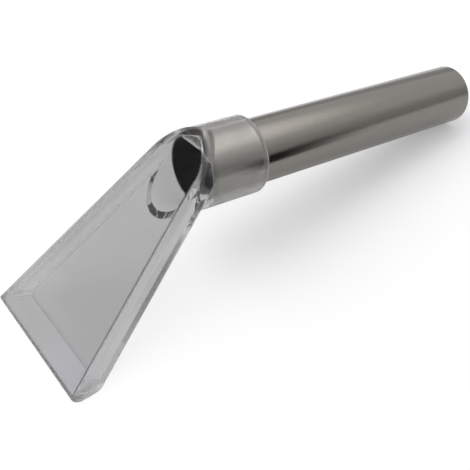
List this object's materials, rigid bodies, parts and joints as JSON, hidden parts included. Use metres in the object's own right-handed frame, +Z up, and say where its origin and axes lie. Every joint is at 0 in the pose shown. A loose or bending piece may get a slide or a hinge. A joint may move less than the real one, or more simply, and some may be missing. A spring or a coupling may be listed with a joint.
{
  "type": "vacuum upholstery nozzle",
  "caption": "Clear moulded upholstery nozzle: a flat tapered duct bent off a round socket that holds a straight bright steel tube.",
  "frame": {"origin": "centre of the footprint, on the surface that the nozzle rests on", "axes": "+X towards the tube's open end, -X towards the mouth, Y across the mouth, +Z up from the surface"},
  "size_m": [0.323, 0.0978, 0.0835],
  "materials": {
    "clear_plastic": "gloss",
    "bright_steel": "polished"
  },
  "bodies": {
    "root": {"clear_head": "clear_plastic", "steel_tube": "bright_steel"}
  },
  "joints": []
}
